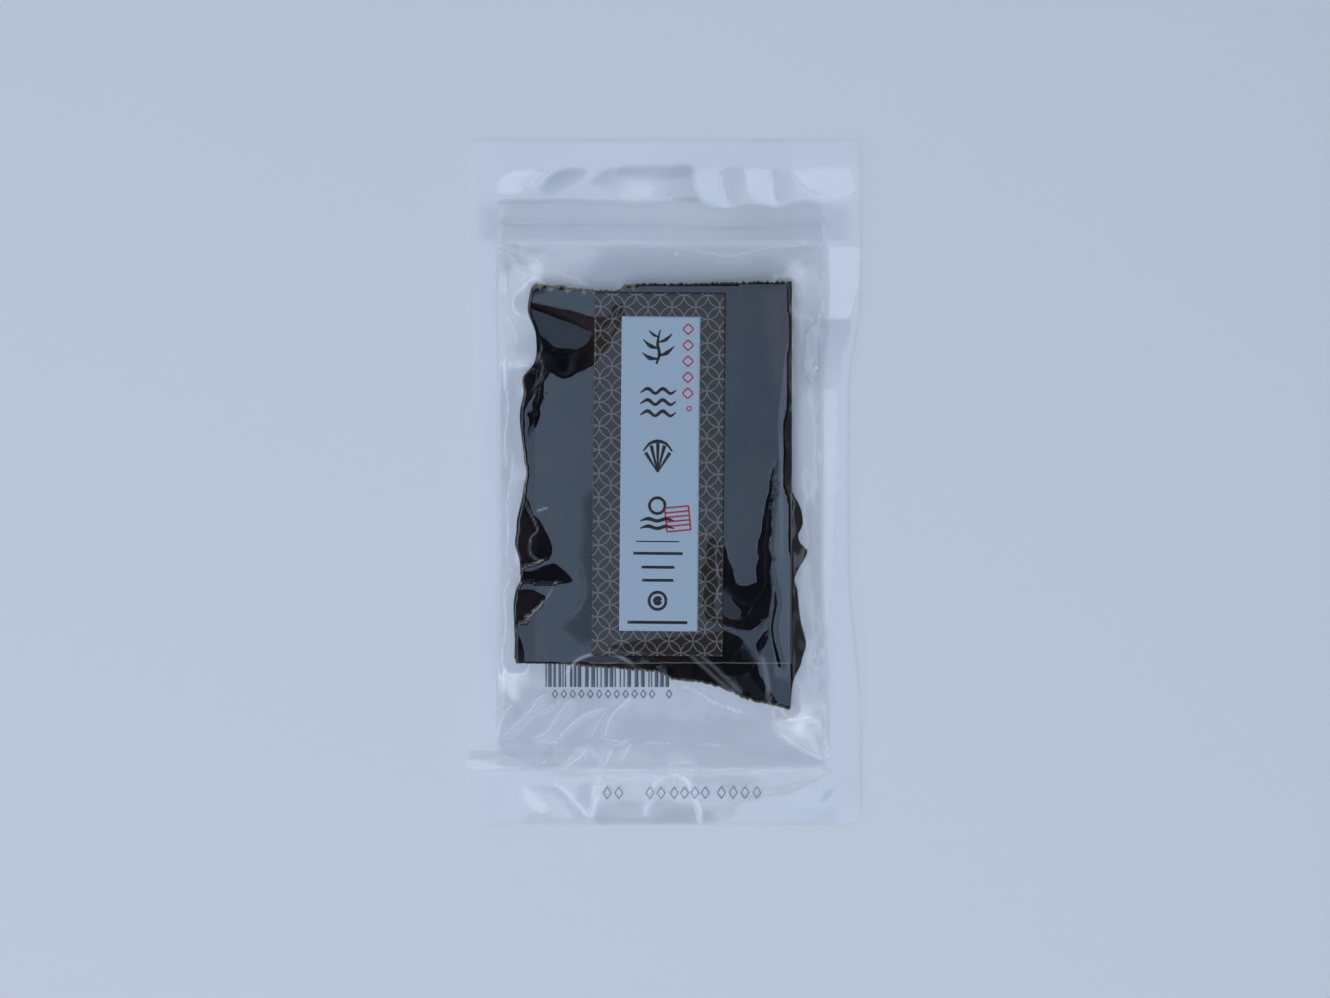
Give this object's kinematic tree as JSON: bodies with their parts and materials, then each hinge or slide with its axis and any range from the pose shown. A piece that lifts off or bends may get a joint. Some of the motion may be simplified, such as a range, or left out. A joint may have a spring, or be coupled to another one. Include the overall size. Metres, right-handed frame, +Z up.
{
  "type": "clear pouch of dried kelp sheets",
  "caption": "Flat clear press-to-close pouch lying on its back, holding stacked dried kelp sheets, with welded edges, a header strip and a printed front label.",
  "frame": {"origin": "middle of the pouch's outline, on the surface that it rests on", "axes": "+X to the right of the label, +Y along the pouch to its header, +Z up out of the front face"},
  "size_m": [0.107, 0.186, 0.0073],
  "materials": {
    "clear_film": "clear laminated film with crisp gloss",
    "label_film": "clear label film with brown print, pale interlocking circles and a pale grey-blue panel",
    "dried_kelp": "dark olive brown, dry, satin",
    "dark_ink": "dark blue-grey print",
    "red_ink": "red print"
  },
  "bodies": {
    "root": {"pouch": "clear_film", "front_label": "label_film"}
  },
  "joints": []
}
